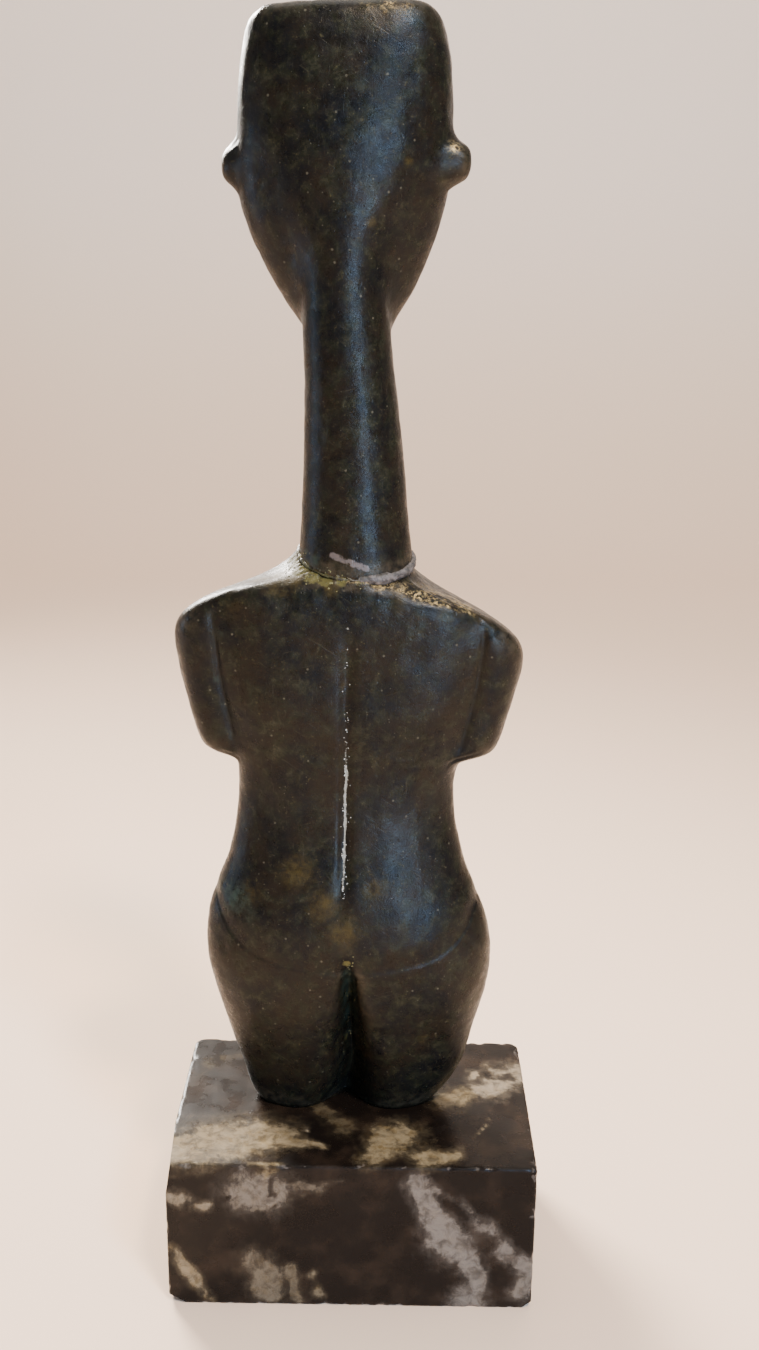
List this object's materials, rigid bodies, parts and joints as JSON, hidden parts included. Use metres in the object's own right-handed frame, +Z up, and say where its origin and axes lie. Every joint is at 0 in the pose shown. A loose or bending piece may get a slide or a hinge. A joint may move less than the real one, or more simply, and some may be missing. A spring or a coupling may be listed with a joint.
{
  "type": "cycladic idol",
  "caption": "Small cast bronze copy of a Cycladic idol with a long neck, ear knobs, folded arms and parted thighs, glued to a block of veined marble.",
  "frame": {"origin": "middle of the marble block's underside", "axes": "+Z up; the figure faces -Y, so its back looks along +Y; its own left side is at +X"},
  "size_m": [0.07, 0.045, 0.2344],
  "materials": {
    "bronze": "dark brown-black patina with green and golden rubbed places",
    "marble": "polished, black-brown with cream and grey veins"
  },
  "bodies": {
    "root": {"bronze_body": "bronze", "head_and_neck": "bronze", "marble_block": "marble"}
  },
  "joints": []
}
